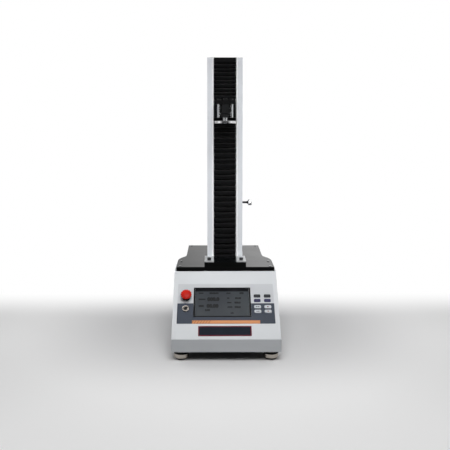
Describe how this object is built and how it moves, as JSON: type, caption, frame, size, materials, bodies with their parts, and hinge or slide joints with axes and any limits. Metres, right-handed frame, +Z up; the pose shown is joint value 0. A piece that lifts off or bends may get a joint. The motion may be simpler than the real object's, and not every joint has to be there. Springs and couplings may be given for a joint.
{
  "type": "force test stand",
  "caption": "Bench force test stand: sloping console with display, keys and stop button, black table and a column whose bellows-guarded crosshead carries a load cell and platen.",
  "frame": {"origin": "on the bench, under the middle of the stand's footprint", "axes": "+X to the operator's right, +Y away from the operator, towards the rear wall, +Z up the column"},
  "size_m": [0.34, 0.5886, 0.964],
  "materials": {
    "housing_paint": "satin light grey enamel",
    "column_silver": "satin light grey coat on aluminium",
    "table_black": "gloss black enamel",
    "black_anodised": "black anodised, satin",
    "foot_silver": "satin aluminium plate",
    "machined": "machined aluminium",
    "bellows_cloth": "black coated cloth",
    "polished_steel": "polished",
    "steel": "ground steel",
    "belt_rubber": "matte",
    "black_plastic": "fine texture",
    "overlay_film": "satin printed film",
    "display_glass": "gloss front glass over a dark display",
    "stop_red": "gloss red",
    "key_dark": "satin",
    "key_navy": "satin",
    "key_white": "satin",
    "plate_blue": "printed plate with no words",
    "board_green": "solder mask",
    "motor_case": "black painted"
  },
  "bodies": {
    "root": {"base_housing": "housing_paint", "rear_panel": "housing_paint", "bottom_plate": "housing_paint", "table_plate": "table_black", "table_screws": "steel", "column_base_block": "table_black", "column_extrusion": "column_silver", "column_end_caps": "foot_silver", "column_feet": "foot_silver", "column_screws": "steel", "top_bearing_plate": "black_anodised", "guide_rails": "steel", "screw_bearings": "steel", "bearing_block": "machined", "drive_motor": "motor_case", "motor_bracket": "steel", "timing_belt": "belt_rubber", "power_supply": "steel", "control_board": "board_green", "control_overlay": "overlay_film", "display_bezel": "black_plastic", "display_screen": "display_glass", "display_module": "black_plastic", "keypad_board": "board_green", "estop_body": "black_plastic", "key_switch_body": "polished_steel", "name_plate": "plate_blue", "foot_locknuts": "steel", "power_inlet": "black_plastic", "upper_bellows": "bellows_cloth", "lower_bellows": "bellows_cloth"},
    "crosshead": {"carriage": "machined", "rail_runners": "steel", "ball_nut": "steel", "crosshead_arm": "black_anodised", "crosshead_fixings": "polished_steel", "load_cell": "black_anodised", "overload_posts": "polished_steel", "load_stem": "polished_steel", "compression_platen": "polished_steel"},
    "screw": {"ball_screw": "steel", "screw_pulley": "machined"},
    "motor_rotor": {"motor_pulley": "steel"},
    "estop_plunger": {"estop_stem": "black_plastic"},
    "estop_cap": {"estop_head": "stop_red"},
    "switch_core": {"key_switch_core": "polished_steel"},
    "limit_stop": {"stop_slider": "machined"},
    "stop_knob": {"stop_thumbscrew": "polished_steel"},
    "front_left_foot": {"foot_front_left": "polished_steel"},
    "front_right_foot": {"foot_front_right": "polished_steel"},
    "rear_left_foot": {"foot_rear_left": "polished_steel"},
    "rear_right_foot": {"foot_rear_right": "polished_steel"},
    "key_body_1": {"key_1": "key_dark"},
    "key_body_2": {"key_2": "key_navy"},
    "key_body_3": {"key_3": "key_white"},
    "key_body_4": {"key_4": "key_white"},
    "key_body_5": {"key_5": "key_dark"},
    "key_body_6": {"key_6": "key_navy"},
    "key_body_7": {"key_7": "key_white"},
    "key_body_8": {"key_8": "key_white"}
  },
  "joints": [
    {"name": "crosshead_slide", "type": "slide", "parent": "root", "child": "crosshead", "axis": [0, 0, 1], "range_m": [-0.3, 0.08], "deforming": ["upper_bellows", "lower_bellows"]},
    {"name": "screw_spin", "type": "hinge", "parent": "root", "child": "screw", "pos_m": [0, 0.04275, 0.5], "axis": [0, 0, 1], "range_deg": [-2890, 10810]},
    {"name": "motor_spin", "type": "hinge", "parent": "root", "child": "motor_rotor", "pos_m": [0, 0.14275, 0.17], "axis": [0, 0, 1], "range_deg": [-5780, 21620]},
    {"name": "estop_push", "type": "slide", "parent": "root", "child": "estop_plunger", "axis": [0, 0.6809, -0.7324], "range_m": [0, 0.006], "stiffness_N_per_m": 1500},
    {"name": "estop_twist", "type": "hinge", "parent": "estop_plunger", "child": "estop_cap", "pos_m": [-0.128, -0.19288, 0.182], "axis": [0, 0.6809, -0.7324], "range_deg": [0, 45], "stiffness_Nm_per_rad": 0.05},
    {"name": "key_switch_turn", "type": "hinge", "parent": "root", "child": "switch_core", "pos_m": [-0.1287, -0.21537, 0.14333], "axis": [0, 0.6809, -0.7324], "range_deg": [0, 90]},
    {"name": "stop_slide", "type": "slide", "parent": "root", "child": "limit_stop", "axis": [0, 0, 1], "range_m": [-0.13, 0.23]},
    {"name": "stop_screw_turn", "type": "hinge", "parent": "limit_stop", "child": "stop_knob", "pos_m": [0.061, 0.03575, 0.458], "axis": [1, 0, 0], "range_deg": [0, 360]},
    {"name": "key_1_push", "type": "slide", "parent": "root", "child": "key_body_1", "axis": [0, 0.6809, -0.7324], "range_m": [0, 0.001], "stiffness_N_per_m": 300},
    {"name": "key_2_push", "type": "slide", "parent": "root", "child": "key_body_2", "axis": [0, 0.6809, -0.7324], "range_m": [0, 0.001], "stiffness_N_per_m": 300},
    {"name": "key_3_push", "type": "slide", "parent": "root", "child": "key_body_3", "axis": [0, 0.6809, -0.7324], "range_m": [0, 0.001], "stiffness_N_per_m": 300},
    {"name": "key_4_push", "type": "slide", "parent": "root", "child": "key_body_4", "axis": [0, 0.6809, -0.7324], "range_m": [0, 0.001], "stiffness_N_per_m": 300},
    {"name": "key_5_push", "type": "slide", "parent": "root", "child": "key_body_5", "axis": [0, 0.6809, -0.7324], "range_m": [0, 0.001], "stiffness_N_per_m": 300},
    {"name": "key_6_push", "type": "slide", "parent": "root", "child": "key_body_6", "axis": [0, 0.6809, -0.7324], "range_m": [0, 0.001], "stiffness_N_per_m": 300},
    {"name": "key_7_push", "type": "slide", "parent": "root", "child": "key_body_7", "axis": [0, 0.6809, -0.7324], "range_m": [0, 0.001], "stiffness_N_per_m": 300},
    {"name": "key_8_push", "type": "slide", "parent": "root", "child": "key_body_8", "axis": [0, 0.6809, -0.7324], "range_m": [0, 0.001], "stiffness_N_per_m": 300},
    {"name": "front_left_foot_turn", "type": "hinge", "parent": "root", "child": "front_left_foot", "pos_m": [-0.1405, -0.26225, 0.02], "axis": [0, 0, 1], "continuous": true},
    {"name": "front_right_foot_turn", "type": "hinge", "parent": "root", "child": "front_right_foot", "pos_m": [0.1405, -0.26225, 0.02], "axis": [0, 0, 1], "continuous": true},
    {"name": "rear_left_foot_turn", "type": "hinge", "parent": "root", "child": "rear_left_foot", "pos_m": [-0.1065, 0.25975, 0.02], "axis": [0, 0, 1], "continuous": true},
    {"name": "rear_right_foot_turn", "type": "hinge", "parent": "root", "child": "rear_right_foot", "pos_m": [0.1065, 0.25975, 0.02], "axis": [0, 0, 1], "continuous": true}
  ],
  "couplings": [
    {"joint": "screw_spin", "follows": "crosshead_slide", "rad_per_m": -628.32},
    {"joint": "motor_spin", "follows": "crosshead_slide", "rad_per_m": -1256.6}
  ]
}
